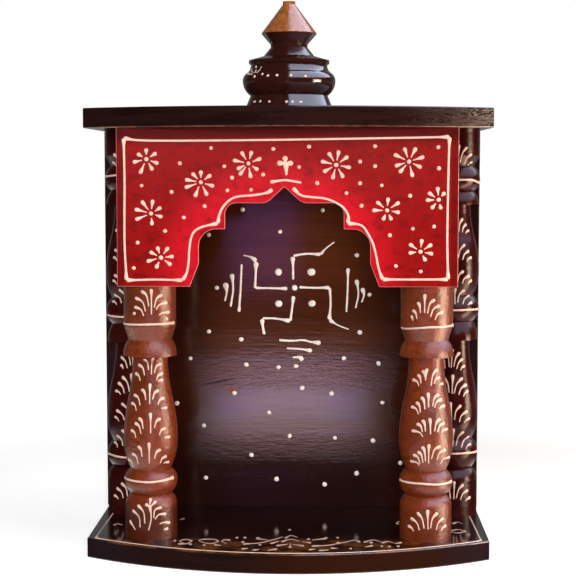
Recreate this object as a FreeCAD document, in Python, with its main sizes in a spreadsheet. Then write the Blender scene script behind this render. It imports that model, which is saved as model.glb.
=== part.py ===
import FreeCAD, Part
import Sketcher
import math
import os
import re
from FreeCAD import Vector

# Hand-painted wooden home shrine: two bow-fronted boards held apart by four turned pillars,
# a back panel, an arched valance in front of the front pillars and a turned finial on the roof.
# Millimetres, +Z up, front towards -Y, origin under the middle of the base board.

SIZES = {
    # Base and roof boards, the same in plan, each with a bowed front edge
    "board_width": 305.0,
    "board_depth": 170.0,
    "bow_depth": 45.0,
    "board_thickness": 15.0,
    "board_arris": 1.0,
    # Clear height between the boards, which the pillars and the back panel fill
    "chamber_height": 310.0,
    "panel_thickness": 10.0,
    "panel_arris": 0.6,
    # How far the back panel stands out past the boards at each side
    "panel_overhang": 1.3,
    # Gap where a turned face stands beside a flat one
    "side_clearance": 0.3,
    # Round tenons of the pillars and the finial, glued in blind holes
    "tenon_radius": 7.0,
    "tenon_length": 9.0,
    "tenon_clearance": 0.2,
    "hole_spare_depth": 1.0,
    # Front pillars, one baluster each
    "front_pillar_inset": 47.7,
    "front_pillar_setback": 12.0,
    "front_shaft_radius": 19.8,
    "front_notch_radius": 15.3,
    "front_cap_notch_radius": 16.3,
    "front_bead_radius": 20.3,
    "front_belly_radius": 20.5,
    "front_neck_radius": 13.2,
    "front_collar_radius": 20.5,
    "front_foot_height": 24.5,
    "front_foot_flare": 8.8,
    "front_bead_lower": 10.0,
    "front_bead_upper": 9.0,
    "front_belly_rise": 22.0,
    "front_collar_height": 12.2,
    "front_cap_flare": 10.7,
    "front_shaft_length": 148.0,
    # Rear pillars, two balusters each. The right one's lower members were turned a little higher.
    "rear_left_inset": 2.2,
    "rear_right_inset": 0.6,
    "rear_right_lift": 3.0,
    "rear_shaft_radius": 19.6,
    "rear_notch_radius": 15.2,
    "rear_bead_radius": 20.0,
    "rear_belly_radius": 19.8,
    "rear_neck_radius": 12.6,
    "rear_collar_radius": 19.0,
    "rear_foot_height": 28.6,
    "rear_foot_flare": 9.8,
    "low_bead_lower": 9.3,
    "low_bead_upper": 11.3,
    "low_belly_rise": 18.0,
    "low_collar_height": 14.5,
    "middle_bead_lower": 10.0,
    "middle_bead_upper": 11.1,
    "high_belly_rise": 19.4,
    "high_collar_height": 10.8,
    "high_bead_lower": 8.8,
    "high_bead_upper": 11.1,
    "rear_cap_flare": 8.2,
    "rear_shaft_length": 19.7,
    # How much longer the lower vase is than the upper one
    "vase_difference": 6.6,
    # Arched valance, hung under the roof
    "valance_overhang": 21.0,
    "valance_height": 117.0,
    "valance_thickness": 6.0,
    "valance_arris": 0.5,
    "arch_shift": 2.0,
    "jamb_width": 126.6,
    "mouth_flare_width": 6.7,
    "mouth_flare_height": 17.0,
    "jamb_height": 12.5,
    "low_corner_radius": 13.0,
    "low_ledge_flat": 6.6,
    "riser_height": 11.2,
    "high_corner_radius": 8.0,
    "peak_width": 26.0,
    "peak_height": 12.0,
    "peak_blend_radius": 10.0,
    # Pot of the finial
    "pot_foot_radius": 33.8,
    "pot_waist_radius": 29.6,
    "pot_belly_radius": 35.5,
    "pot_throat_radius": 29.2,
    "pot_rim_radius": 30.8,
    "pot_foot_height": 10.6,
    "pot_belly_rise": 11.2,
    "pot_shoulder_rise": 11.9,
    "pot_lip_rise": 1.2,
    "pot_rim_height": 2.4,
    "pot_cover_rise": 3.3,
    # Spire of the finial
    "spire_base_radius": 19.4,
    "spire_neck_radius": 14.1,
    "spire_brim_radius": 21.0,
    "spire_knob_radius": 4.8,
    "spire_base_rise": 6.5,
    "spire_neck_height": 2.3,
    "spire_under_rise": 8.0,
    "spire_brim_height": 0.6,
    "spire_cone_rise": 21.6,
    "spire_knob_height": 2.4,
}

doc = FreeCAD.newDocument("HomeShrine")
sheet = doc.addObject("Spreadsheet::Sheet", "Sizes")
for row, (name, number) in enumerate(SIZES.items(), start=1):
    sheet.set(f"A{row}", name)
    sheet.set(f"B{row}", str(number))
    sheet.setAlias(f"B{row}", name)
doc.recompute()


def bound(text):
    """An expression on the sheet's cells, from one that gives the sizes by their bare names."""
    def cell(word):
        return f"Sizes.{word[0]}" if word[0] in SIZES else word[0]

    return re.sub(r"[a-z_]+", cell, text)


def worked_out(text):
    """The number that such an expression comes to."""
    return float(sheet.evalExpression(bound(text)))


def fix(sketch, kind, *where, text):
    """A dimension of a sketch whose value is an expression of the sheet."""
    index = sketch.addConstraint(Sketcher.Constraint(kind, *where, worked_out(text)))
    sketch.setExpression(f"Constraints[{index}]", bound(text))


def relate(sketch, kind, *where):
    """A relation that holds between points or edges of a sketch."""
    sketch.addConstraint(Sketcher.Constraint(kind, *where))


def fix_point(sketch, edge, end, across, up):
    """Puts an edge's end at two coordinates; a coordinate of 0 lies on the sketch's axis."""
    for kind, text, axis in (("DistanceX", across, -2), ("DistanceY", up, -1)):
        if text == "0":
            relate(sketch, "PointOnObject", edge, end, axis)
        else:
            fix(sketch, kind, edge, end, text=text)


def add_line(sketch, start, finish):
    """A straight edge: its number, and the numbers of its first and last point."""
    return sketch.addGeometry(Part.LineSegment(start, finish)), 1, 2


def add_arc(sketch, start, finish, centre):
    """The shorter arc about a centre: its number, and the numbers of its first and last point."""
    first = math.atan2(start.y - centre.y, start.x - centre.x)
    last = math.atan2(finish.y - centre.y, finish.x - centre.x)
    turn = math.remainder(last - first, 2 * math.pi)
    circle = Part.Circle(centre, Vector(0, 0, 1), (start - centre).Length)
    if turn > 0:
        return sketch.addGeometry(Part.ArcOfCircle(circle, first, first + turn)), 1, 2
    return sketch.addGeometry(Part.ArcOfCircle(circle, last, last - turn)), 2, 1


def new_body(name):
    body = doc.addObject("PartDesign::Body", name)
    body.Label = name
    return body


def place(body, across="0", back="0", up="0"):
    """Ties a body's place to the sheet."""
    for axis, text in zip("xyz", (across, back, up)):
        body.setExpression(f"Placement.Base.{axis}", bound(text))


def new_sketch(body, name, role, height="0"):
    """A sketch on one of the body's own origin planes, or parallel to it at a height."""
    plane = next(plane for plane in body.Origin.OriginFeatures if plane.Role == role)
    sketch = body.newObject("Sketcher::SketchObject", name)
    sketch.AttachmentSupport = [(plane, "")]
    sketch.MapMode = "FlatFace"
    sketch.setExpression("AttachmentOffset.Base.z", bound(height))
    return sketch


def round_edges(body, feature, radius, chosen):
    """Rounds the edges of a feature that a test picks out."""
    edges = enumerate(feature.Shape.Edges, start=1)
    names = [f"Edge{number}" for number, edge in edges if chosen(edge)]
    rounding = body.newObject("PartDesign::Fillet", body.Label + "_arris")
    rounding.Base = (feature, names)
    rounding.setExpression("Radius", bound(radius))
    doc.recompute()
    return rounding


def bore_holes(body, name, spots, height, downwards):
    """Blind holes for tenons, one at each spot, sunk into the body from a height."""
    sketch = new_sketch(body, f"{body.Label}_{name}_holes", "XY_Plane", height)
    for across, back in spots:
        guess = Vector(worked_out(across), worked_out(back), 0)
        circle = sketch.addGeometry(Part.Circle(guess, Vector(0, 0, 1), worked_out(HOLE_RADIUS)))
        fix_point(sketch, circle, 3, across, back)
        fix(sketch, "Radius", circle, text=HOLE_RADIUS)
    holes = body.newObject("PartDesign::Pocket", f"{body.Label}_{name}_bores")
    holes.Profile = sketch
    holes.setExpression("Length", bound(HOLE_DEPTH))
    holes.Reversed = not downwards
    sketch.Visibility = False
    doc.recompute()


# Turned pieces

def level_centre(level, other):
    """Centre of the arc through two points that runs straight up at the first of them."""
    radius = ((level.x - other.x) ** 2 + (level.y - other.y) ** 2) / (2 * (level.x - other.x))
    return Vector(level.x - radius, level.y, 0)


def upright_arc(sketch, level, other, rising):
    """An arc that stands upright at its level point; rising when it ends there."""
    centre = level_centre(level, other)
    edge = add_arc(sketch, other, level, centre) if rising else add_arc(sketch, level, other, centre)
    relate(sketch, "Horizontal", edge[0], 3, edge[0], edge[2] if rising else edge[1])
    return edge


def turned_run(sketch, shape, start, finish):
    """The edges of one member of a turned outline.

    A straight is one line, a swell leaves its start slanting and ends upright, a fall starts
    upright, and an ogee is two tangent arcs of one radius that are upright at both ends.
    """
    if shape == "straight":
        return [add_line(sketch, start, finish)]
    if shape == "swell":
        return [upright_arc(sketch, finish, start, rising=True)]
    if shape == "fall":
        return [upright_arc(sketch, start, finish, rising=False)]
    middle = (start + finish) * 0.5
    lower = upright_arc(sketch, start, middle, rising=False)
    upper = upright_arc(sketch, finish, middle, rising=True)
    relate(sketch, "Tangent", lower[0], lower[2], upper[0], upper[1])
    relate(sketch, "Equal", lower[0], upper[0])
    return [lower, upper]


def turned_piece(name, foot, members):
    """A piece turned about its own Z axis, as a body with one revolved outline.

    The outline leaves the axis at the height foot and comes back to it at the last member.
    Each member is its shape, how far it rises, and the radius that it ends at.
    """
    body = new_body(name)
    sketch = new_sketch(body, name + "_outline", "XZ_Plane")
    start = Vector(0, worked_out(foot), 0)
    runs = []
    for shape, rise, radius in members:
        finish = Vector(worked_out(radius), start.y + worked_out(rise), 0)
        runs.append(turned_run(sketch, shape, start, finish))
        start = finish
    axis = add_line(sketch, start, Vector(0, worked_out(foot), 0))
    for before, after in zip(runs, runs[1:] + [[axis]]):
        relate(sketch, "Coincident", before[-1][0], before[-1][2], after[0][0], after[0][1])
    relate(sketch, "Coincident", axis[0], axis[2], runs[0][0][0], runs[0][0][1])
    fix_point(sketch, runs[0][0][0], runs[0][0][1], "0", foot)
    for run, (shape, rise, radius) in zip(runs, members):
        first, last = run[0], run[-1]
        if rise == "0":
            relate(sketch, "Horizontal", first[0])
        else:
            fix(sketch, "DistanceY", first[0], first[1], last[0], last[2], text=rise)
        if radius == "0":
            relate(sketch, "PointOnObject", last[0], last[2], -2)
        else:
            fix(sketch, "DistanceX", last[0], last[2], text=radius)
    turning = body.newObject("PartDesign::Revolution", name + "_turning")
    turning.Profile = sketch
    turning.ReferenceAxis = (sketch, ["V_Axis"])
    turning.Angle = 360.0
    sketch.Visibility = False
    return body


# Places that several pieces share

FRONT_X = "board_width / 2 - front_pillar_inset"
FRONT_Y = "bow_depth + front_pillar_setback - board_depth / 2"
PANEL_Y = "board_depth / 2 - panel_thickness"
REAR_Y = PANEL_Y + " - side_clearance - rear_bead_radius"
ROOF_Z = "board_thickness + chamber_height"
ROOF_TOP_Z = ROOF_Z + " + board_thickness"
PILLAR_SPOTS = {
    "front_pillar_left": (f"-1 * ({FRONT_X})", FRONT_Y),
    "front_pillar_right": (FRONT_X, FRONT_Y),
    "rear_pillar_left": ("rear_left_inset + rear_bead_radius - board_width / 2", REAR_Y),
    "rear_pillar_right": ("board_width / 2 - rear_bead_radius - rear_right_inset", REAR_Y),
}
HOLE_RADIUS = "tenon_radius + tenon_clearance"
HOLE_DEPTH = "tenon_length + hole_spare_depth"


# Flat pieces

def cut_board(name, role, plan, bends, thickness):
    """A board sawn to an outline, as (body, pad): its corners in order, and for some edges a bend.

    A bend is an arc's radius and the place of its centre, as three expressions.
    """
    body = new_body(name)
    sketch = new_sketch(body, name + "_outline", role)
    points = [Vector(worked_out(across), worked_out(along), 0) for across, along in plan]
    edges = []
    for number, (start, finish) in enumerate(zip(points, points[1:] + points[:1])):
        if number in bends:
            radius, across, along = bends[number]
            centre = Vector(worked_out(across), worked_out(along), 0)
            edges.append(add_arc(sketch, start, finish, centre))
        else:
            edges.append(add_line(sketch, start, finish))
    for before, after in zip(edges, edges[1:] + edges[:1]):
        relate(sketch, "Coincident", before[0], before[2], after[0], after[1])
    for edge, (across, along) in zip(edges, plan):
        fix_point(sketch, edge[0], edge[1], across, along)
    for number, (radius, across, along) in bends.items():
        fix(sketch, "Radius", edges[number][0], text=radius)
    board = body.newObject("PartDesign::Pad", name + "_pad")
    board.Profile = sketch
    board.setExpression("Length", bound(thickness))
    sketch.Visibility = False
    doc.recompute()
    return body, board


def bow_fronted_board(name):
    """A board with straight back and sides and a front edge that bows out in one arc."""
    half, back = "board_width / 2", "board_depth / 2"
    corner = f"bow_depth - {back}"
    bow_radius = "board_width * board_width / (8 * bow_depth) + bow_depth / 2"
    plan = [(f"-1 * {half}", back), (f"-1 * {half}", corner), (half, corner), (half, back)]
    bow = {1: (bow_radius, "0", f"{bow_radius} - {back}")}
    body, board = cut_board(name, "XY_Plane", plan, bow, "board_thickness")
    round_edges(body, board, "board_arris", lambda edge: True)
    return body


def make_boards():
    spots = list(PILLAR_SPOTS.values())
    base = bow_fronted_board("base_board")
    bore_holes(base, "pillar", spots, "board_thickness", downwards=True)
    roof = bow_fronted_board("roof_board")
    place(roof, up=ROOF_Z)
    bore_holes(roof, "pillar", spots, "0", downwards=False)
    bore_holes(roof, "finial", [("0", "0")], "board_thickness", downwards=True)


def make_back_panel():
    """The back, one board that stands between the other two, flush with them at the rear."""
    right = "board_width / 2 + panel_overhang"
    left = f"-1 * ({right})"
    plan = [(left, "0"), (right, "0"), (right, "panel_thickness"), (left, "panel_thickness")]
    body, board = cut_board("back_panel", "XY_Plane", plan, {}, "chamber_height")
    round_edges(body, board, "panel_arris", lambda edge: edge.BoundBox.ZLength > edge.BoundBox.XLength)
    place(body, back=PANEL_Y, up="board_thickness")


def make_valance():
    """A thin board whose arch climbs in two rounded ledges a side to a pointed crown."""
    slope = "atan(2 * peak_height / peak_width)"
    blend = f"(peak_blend_radius * tan({slope} / 2))"
    blend_start = f"peak_width / 2 + {blend}"
    jamb = "jamb_width / 2"
    low_turn = "mouth_flare_height + jamb_height"
    low_ledge = f"{low_turn} + low_corner_radius"
    low_inner = f"{jamb} - low_corner_radius"
    throat = f"{low_inner} - low_ledge_flat"
    high_turn = f"{low_ledge} + riser_height"
    high_ledge = f"{high_turn} + high_corner_radius"
    high_inner = f"{throat} - high_corner_radius"
    # Half of the arch from its mouth up: half width, height, and the bend that starts there
    half = [
        (f"{jamb} + mouth_flare_width", "0", None),
        (jamb, "mouth_flare_height", None),
        (jamb, low_turn, ("low_corner_radius", low_inner, low_turn)),
        (low_inner, low_ledge, None),
        (throat, low_ledge, None),
        (throat, high_turn, ("high_corner_radius", high_inner, high_turn)),
        (high_inner, high_ledge, None),
        (blend_start, high_ledge, ("peak_blend_radius", blend_start, f"{high_ledge} + peak_blend_radius")),
        (f"peak_width / 2 - {blend} * cos({slope})", f"{high_ledge} + {blend} * sin({slope})", None),
    ]
    right_edge = f"{FRONT_X} + valance_overhang"
    left_edge = f"-1 * ({right_edge})"
    plan = [(left_edge, "valance_height"), (left_edge, "0")]
    bends = {}
    for across, up, bend in half:
        if bend:
            radius, bend_across, bend_up = bend
            bends[len(plan)] = (radius, f"-1 * ({bend_across}) - arch_shift", bend_up)
        plan.append((f"-1 * ({across}) - arch_shift", up))
    plan.append(("-1 * arch_shift", f"{high_ledge} + peak_height"))
    for across, up, bend in reversed(half):
        plan.append((f"{across} - arch_shift", up))
        if bend:
            radius, bend_across, bend_up = bend
            bends[len(plan) - 2] = (radius, f"{bend_across} - arch_shift", bend_up)
    plan += [(right_edge, "0"), (right_edge, "valance_height")]
    body, board = cut_board("valance", "XZ_Plane", plan, bends, "valance_thickness")
    front = -worked_out("valance_thickness")
    top = worked_out("valance_height")

    def shows(edge):
        box = edge.BoundBox
        return max(abs(box.YMin - front), abs(box.YMax - front)) < 0.001 and box.ZMin < top - 0.001

    round_edges(body, board, "valance_arris", shows)
    place(body, back=f"{FRONT_Y} - front_shaft_radius - side_clearance", up=f"{ROOF_Z} - valance_height")


# Pillars

def baluster(start, kind, vase, top_radius):
    """A belly that swells from a notch, a long neck, and a bell-shaped collar that overhangs the neck."""
    return [
        ("swell", f"{start}_belly_rise", f"{kind}_belly_radius"),
        ("ogee", vase, f"{kind}_neck_radius"),
        ("straight", "0", f"{kind}_collar_radius"),
        ("fall", f"{start}_collar_height", top_radius),
    ]


def bead(start, kind, lower):
    """A bead between two notches, upright at its widest line."""
    return [
        ("swell", lower, f"{kind}_bead_radius"),
        ("fall", f"{start}_bead_upper", f"{kind}_notch_radius"),
    ]


def pillar_outline(kind, middle):
    """A pillar's members from the lower tenon to the upper one."""
    shaft = f"{kind}_shaft_radius"
    return [
        ("straight", "0", "tenon_radius"),
        ("straight", "tenon_length", "tenon_radius"),
        ("straight", "0", shaft),
        ("straight", f"{kind}_foot_height", shaft),
        ("fall", f"{kind}_foot_flare", f"{kind}_notch_radius"),
        *middle,
        ("straight", f"{kind}_cap_flare", shaft),
        ("straight", f"{kind}_shaft_length", shaft),
        ("straight", "0", "tenon_radius"),
        ("straight", "tenon_length", "tenon_radius"),
        ("straight", "0", "0"),
    ]


def left_over(*rises):
    """What members that have a rise of their own leave of the chamber's height."""
    return "chamber_height - " + " - ".join(rises)


def front_members():
    """One baluster over a bead. Its vase takes the height that is left over."""
    vase = left_over("front_foot_height", "front_foot_flare", "front_bead_lower", "front_bead_upper",
                     "front_belly_rise", "front_collar_height", "front_cap_flare", "front_shaft_length")
    return [*bead("front", "front", "front_bead_lower"),
            *baluster("front", "front", vase, "front_cap_notch_radius")]


def rear_members(lift):
    """Two balusters and three beads. The vases share what is left over; a lift shortens the upper one."""
    vases = left_over("rear_foot_height", "rear_foot_flare", "low_bead_lower", "low_bead_upper",
                      "low_belly_rise", "low_collar_height", "middle_bead_lower", "middle_bead_upper",
                      "high_belly_rise", "high_collar_height", "high_bead_lower", "high_bead_upper",
                      "rear_cap_flare", "rear_shaft_length")
    lower_vase = f"({vases} + vase_difference) / 2"
    upper_vase = f"({vases} - vase_difference) / 2 - {lift}"
    return [*bead("low", "rear", f"low_bead_lower + {lift}"),
            *baluster("low", "rear", lower_vase, "rear_notch_radius"),
            *bead("middle", "rear", "middle_bead_lower"),
            *baluster("high", "rear", upper_vase, "rear_notch_radius"),
            *bead("high", "rear", "high_bead_lower")]


def make_pillars():
    outlines = {
        "front_pillar_left": pillar_outline("front", front_members()),
        "front_pillar_right": pillar_outline("front", front_members()),
        "rear_pillar_left": pillar_outline("rear", rear_members("0")),
        "rear_pillar_right": pillar_outline("rear", rear_members("rear_right_lift")),
    }
    for name, (across, back) in PILLAR_SPOTS.items():
        pillar = turned_piece(name, "-1 * tenon_length", outlines[name])
        place(pillar, across, back, "board_thickness")


# Finial

def make_finial():
    """A pot on the roof, and a coned spire that is tenoned into the pot's cover."""
    pot_height = " + ".join(["pot_foot_height", "pot_belly_rise", "pot_shoulder_rise", "pot_lip_rise",
                             "pot_rim_height", "pot_cover_rise"])
    pot = turned_piece("finial_pot", "-1 * tenon_length", [
        ("straight", "0", "tenon_radius"),
        ("straight", "tenon_length", "tenon_radius"),
        ("straight", "0", "pot_foot_radius"),
        ("straight", "pot_foot_height", "pot_waist_radius"),
        ("swell", "pot_belly_rise", "pot_belly_radius"),
        ("ogee", "pot_shoulder_rise", "pot_throat_radius"),
        ("straight", "pot_lip_rise", "pot_rim_radius"),
        ("straight", "pot_rim_height", "pot_rim_radius"),
        ("straight", "pot_cover_rise", "spire_base_radius"),
        ("straight", "0", HOLE_RADIUS),
        ("straight", f"-1 * ({HOLE_DEPTH})", HOLE_RADIUS),
        ("straight", "0", "0"),
    ])
    place(pot, up=ROOF_TOP_Z)
    spire = turned_piece("finial_spire", "-1 * tenon_length", [
        ("straight", "0", "tenon_radius"),
        ("straight", "tenon_length", "tenon_radius"),
        ("straight", "0", "spire_base_radius"),
        ("straight", "spire_base_rise", "spire_neck_radius"),
        ("straight", "spire_neck_height", "spire_neck_radius"),
        ("straight", "spire_under_rise", "spire_brim_radius"),
        ("straight", "spire_brim_height", "spire_brim_radius"),
        ("straight", "spire_cone_rise", "spire_knob_radius"),
        ("straight", "spire_knob_height", "spire_knob_radius"),
        ("straight", "0", "0"),
    ])
    place(spire, up=f"{ROOF_TOP_Z} + {pot_height}")


def write_pieces():
    """Checks every object and writes each piece to a file named after it."""
    doc.recompute()
    for item in doc.Objects:
        if {"Invalid", "Error"} & set(item.State):
            raise RuntimeError(f"{item.Label} failed: {item.State}")
    os.makedirs("parts", exist_ok=True)
    for body in doc.findObjects("PartDesign::Body"):
        shape = body.Shape
        if shape.isNull() or not shape.isValid() or len(shape.Solids) != 1:
            raise RuntimeError(f"{body.Label} is not one sound solid")
        shape.exportStep(f"parts/{body.Label}.step")
        box = shape.BoundBox
        print(f"{body.Label}: {shape.Volume / 1000:.1f} cm3, z {box.ZMin:.1f} to {box.ZMax:.1f}")


make_boards()
make_back_panel()
make_valance()
make_pillars()
make_finial()
write_pieces()
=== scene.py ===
"""The looks of a hand-painted wooden pooja mandir: lacquer, red paint and raised cone painting.

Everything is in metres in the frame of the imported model: +Z up, front towards -Y, origin under the base.
"""
import math

import bpy
import numpy as np
from bpy.props import FloatProperty, FloatVectorProperty, IntProperty, PointerProperty
from mathutils import Euler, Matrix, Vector


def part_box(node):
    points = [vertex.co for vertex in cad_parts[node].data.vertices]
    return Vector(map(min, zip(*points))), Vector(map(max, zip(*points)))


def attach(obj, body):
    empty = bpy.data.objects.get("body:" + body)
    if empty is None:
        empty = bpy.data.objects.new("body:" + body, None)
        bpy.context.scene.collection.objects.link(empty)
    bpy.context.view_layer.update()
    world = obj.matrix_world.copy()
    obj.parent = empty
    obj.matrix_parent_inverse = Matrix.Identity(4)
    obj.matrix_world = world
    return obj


bl_info = {
    "name": "Painted pooja mandir",
    "version": (1, 0, 0),
    "blender": (4, 5, 0),
    "location": "3D View > Sidebar > Mandir",
    "description": "Lacquer, paint and raised cone painting for a wooden home shrine",
    "category": "Object",
}

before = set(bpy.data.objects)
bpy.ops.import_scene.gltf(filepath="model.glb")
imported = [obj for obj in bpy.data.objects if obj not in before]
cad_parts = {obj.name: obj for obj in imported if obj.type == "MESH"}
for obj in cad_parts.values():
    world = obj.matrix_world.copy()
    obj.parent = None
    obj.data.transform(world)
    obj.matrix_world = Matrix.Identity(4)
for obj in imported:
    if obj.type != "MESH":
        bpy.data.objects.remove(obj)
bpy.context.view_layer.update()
BODY = "root"
MM = 0.001

# Height of the sharp edge where the spire's cone begins
SPIRE_ARRIS = 0.398

# The picture's frame and the camera that took it
PICTURE = 576
LENS_MM = 94.085
SENSOR_MM = 36.0
CAMERA_PLACE = (0.03226, -1.16154, 0.29568)
CAMERA_TILT = math.radians(85.4321)
CAMERA_TURN = math.radians(1.6322)

# Half axes and middle, in x and z, of the oval round the arch within which the red is brightest: partly the
# paint's own, partly a painted pool of front light
RED_OVAL = (0.074, 0.072)
RED_MIDDLE = (-0.006, 0.215)

# A scratch and a chip in the panel's lacquer: x and z in mm
PANEL_SCRATCH = (-62.9, 118.4)
PANEL_CHIP = (-49.8, 111.7)

# Where the table lies whose image shows low on the back panel
TABLE_MIDDLE = -0.02
TABLE_HALF = 0.124
TABLE_NEAR = (-0.22, -0.58)
TABLE_FAR = (-1.15, -0.72)
FLOOR_REACH = 12.0

# The cone's pastes: which of the group's creams each is, and how far it is worn
PASTES = {"cream_cone_paste": ("cream", 0.0), "pale_cone_paste": ("chalk", 0.0),
          "worn_cone_paste": ("cream", 0.55)}

# Where the painting is, in pixels of the picture: each flower has its centre, then each petal's
# direction in degrees clockwise from straight up and the reach of its tip
FLOWERS = (
    ((146.3, 159.2), ((-1, 10), (58, 11), (110, 12), (150, 12), (204, 15), (257, 13), (302, 10))),
    ((200.7, 182.3), ((1, 11), (54, 12), (107, 13), (154, 14), (202, 15), (251, 16), (280, 15), (317, 12))),
    ((151.0, 213.5), ((7, 13), (58, 11), (108, 11), (175, 11), (248, 16), (285, 16), (323, 15))),
    ((160.9, 257.7), ((35, 12), (84, 12), (126, 12), (205, 11), (255, 14), (298, 12), (341, 11))),
    ((248.4, 163.4), ((15, 12), (68, 13), (125, 11), (171, 14), (218, 14), (243, 12), (282, 15), (328, 13))),
    ((336.2, 164.9), ((328, 14), (10, 14), (54, 14), (101, 14), (151, 14), (195, 14), (241, 14), (284, 15))),
    ((409.0, 161.6), ((341, 14), (26, 15), (72, 15), (116, 13), (167, 15), (221, 14), (252, 14), (296, 16))),
    ((387.1, 210.4), ((310, 13), (4, 12), (56, 14), (100, 12), (156, 10), (203, 10), (270, 14))),
    ((438.6, 199.8), ((355, 12), (305, 12), (268, 12), (219, 11), (166, 9), (40, 9))),
    ((420.4, 251.8), ((305, 13), (6, 12), (57, 13), (100, 12), (150, 10), (264, 11))),
)
VALANCE_DOTS = (
    (179.8, 163.3), (211, 148), (273.3, 148.9), (224.2, 166.3), (232, 177.7), (263.1, 174.6), (251, 189.8),
    (227.3, 190.4), (204.5, 206.1), (171.5, 192), (141.6, 185.6), (183.8, 217.5), (165, 231),
    (137.6, 242.7), (133.8, 268.1), (309, 146.6), (375, 146.2), (438.3, 147.2), (299.1, 167), (360, 161.6),
    (375, 166.1), (438.9, 168.3), (317.2, 183.1), (360, 183.3), (381.7, 185.4), (346.4, 193.1),
    (410.1, 195.8), (361.6, 205.8), (434, 226.6), (412.8, 228.9), (389.8, 235.3), (395.8, 266.1),
    (420.6, 271.5),
)
BORDER_SIDES = (
    ((123.5, 138.2), (150, 140.6), (260, 140), (390, 138), (449.4, 136.9)),
    ((449.4, 136.9), (448.2, 180), (447.2, 240), (448, 279.5)),
    ((123.5, 138.2), (124.4, 180), (124.4, 240), (126.5, 280.3)),
    ((448, 279.5), (415, 279.6), (382.4, 279.5)),
    ((126.5, 280.3), (155, 279.6), (182.5, 280.3)),
)
ARCH_LINES = (
    ((182.5, 280.3), (186.5, 273), (188.6, 261), (189.1, 250.7), (191.2, 237.3), (195.2, 230.6),
     (203.2, 226.6), (217.9, 223.3)),
    ((217.9, 223.3), (219.3, 214.6), (223.3, 206.5), (230, 199.8), (238, 196.5), (254.1, 195.1),
     (267.5, 192.5), (272.2, 189.1)),
    ((382.4, 279.5), (378.4, 268.1), (376.4, 257.4), (373, 244), (367.7, 233.3), (361, 225.3),
     (347.6, 223.3)),
    ((347.6, 223.3), (348.3, 215.9), (343.6, 207.9), (335.5, 202.5), (324.8, 198.5), (311.4, 197.1),
     (300.7, 195.1), (292.7, 187.8)),
)
CROWN_BAR = ((270.2, 182.1), (278, 180.9), (287, 180.3), (301.4, 182.7))
CROWN_CROSS = (
    ((284.9, 155.9), (285.3, 163.5)),
    ((277, 163), (286, 163.6)),
    ((293, 163), (286, 163.6)),
    ((285.8, 162.5), (286.3, 175.4)),
)

# The swastik on the back panel, its dots and hub, and the strokes and dots round it. Each stroke is given
# as half widths of head and tail in mm, and the route from head to tail
SWASTIK_ARMS = (
    (1.9, 1.0, ((292.6, 256.6), (293.0, 268), (293.1, 279.6))),
    (1.5, 1.1, ((320.6, 254.4), (306, 253.8), (293.4, 255.8))),
    (1.2, 0.5, ((320.5, 254.6), (326, 248.4), (334.2, 242))),
    (1.6, 1.1, ((287.4, 288.6), (272, 288.2), (255.4, 287.9))),
    (2.2, 1.2, ((256.0, 261.6), (255.6, 274), (254.9, 288.2))),
    (1.9, 0.5, ((256.4, 261.2), (250.5, 257), (243.2, 255.3))),
    (1.6, 1.1, ((329.6, 287.6), (314, 287.8), (299.2, 287.2))),
    (1.7, 1.2, ((329.2, 319.8), (330.6, 303), (329.6, 287.6))),
    (1.6, 0.5, ((329.3, 319.8), (338, 325.2), (348.8, 329.4))),
    (1.6, 1.2, ((293.5, 296.0), (291.8, 310), (290.2, 321))),
    (1.9, 1.0, ((290.2, 321.0), (276, 318.6), (262.5, 318.2))),
    (1.8, 1.2, ((262.0, 318.8), (262.6, 326), (264.2, 334.6))),
)
SWASTIK_DOTS = ((278.4, 272.1), (311.4, 272.1), (278.7, 303.7), (312, 303.5))
SWASTIK_HUB = (294.6, 287.8)
PANEL_STROKES = (
    (1.3, 0.9, ((238.8, 312), (240.4, 290), (241.5, 264.2))),
    (1.9, 0.8, ((231.9, 273.8), (233, 290), (230.4, 306.9))),
    (2.4, 0.7, ((225.1, 282.7), (226.6, 292), (224.8, 301.2))),
    (1.6, 0.8, ((348, 268), (347.6, 290), (346.4, 312))),
    (1.9, 0.7, ((356.5, 279.5), (358.4, 294), (355.6, 308.2))),
    (1.9, 0.6, ((362.2, 287.8), (364, 295), (361.6, 302.4))),
    (2.0, 1.1, ((320.8, 343), (311, 342), (303, 340.2), (291, 340.8), (279.1, 340.1))),
    (1.8, 0.8, ((312.2, 350.9), (300, 349), (286.7, 348.4))),
    (2.0, 0.7, ((302, 361.1), (300, 357.6), (292.5, 357.3))),
)
PANEL_DOTS = (
    (216.8, 287.8), (369.6, 294.8), (278.4, 367.2), (295.9, 366.2), (242.3, 209.6), (322.7, 210.2),
    (280, 231.7), (208.7, 234.8), (356.9, 255.3), (208.9, 331.5), (241.1, 339.4), (359.8, 332.4),
    (190.5, 358.4), (246.2, 364.6), (343.8, 358.3), (378.6, 363.4), (177.1, 403.3), (269.1, 412.6),
    (382.4, 402.7), (203.9, 425.4), (289.5, 436), (334.9, 437.9), (373, 440.6), (251.4, 454.9),
    (400.2, 462.9), (356.6, 473.3), (205.9, 477.7), (276.5, 479), (324.6, 484.4), (302, 388),
    (331.5, 393.5), (234.5, 393),
)

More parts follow.
